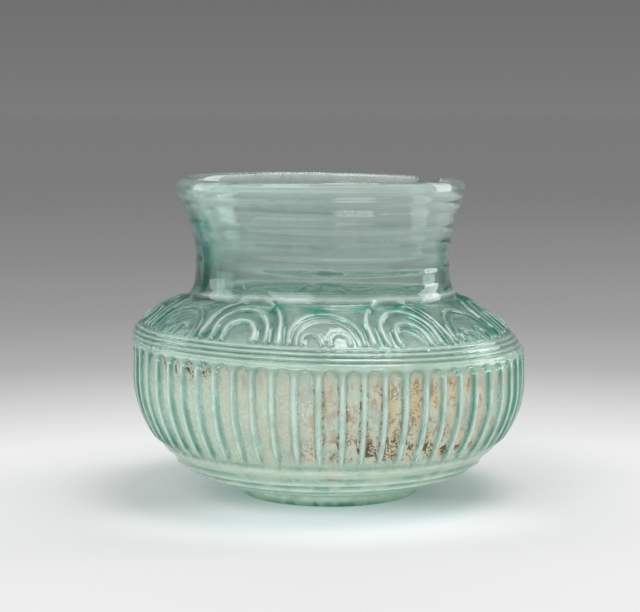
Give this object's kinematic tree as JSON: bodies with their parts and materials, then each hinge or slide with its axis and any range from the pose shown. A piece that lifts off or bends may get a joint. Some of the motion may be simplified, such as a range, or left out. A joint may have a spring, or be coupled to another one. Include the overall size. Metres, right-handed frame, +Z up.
{
  "type": "glass cup",
  "caption": "Squat blue-green glass cup with a flaring collar, a moulded shoulder, a belly of upright ribs and a low pad foot.",
  "frame": {"origin": "middle of the face that the foot stands on", "axes": "+Z up through the mouth, -Y towards the side that the picture shows, +X to the right of it"},
  "size_m": [0.0908, 0.0908, 0.0725],
  "materials": {
    "vessel_glass": "gloss, lightly weathered",
    "foot_glass": "gloss"
  },
  "bodies": {
    "root": {"foot_pad": "foot_glass", "underside_bowl": "vessel_glass", "ribbed_belly": "vessel_glass", "ridge_band": "vessel_glass", "shoulder_dome": "vessel_glass", "neck_collar": "vessel_glass", "rim_lip": "vessel_glass"}
  },
  "joints": []
}
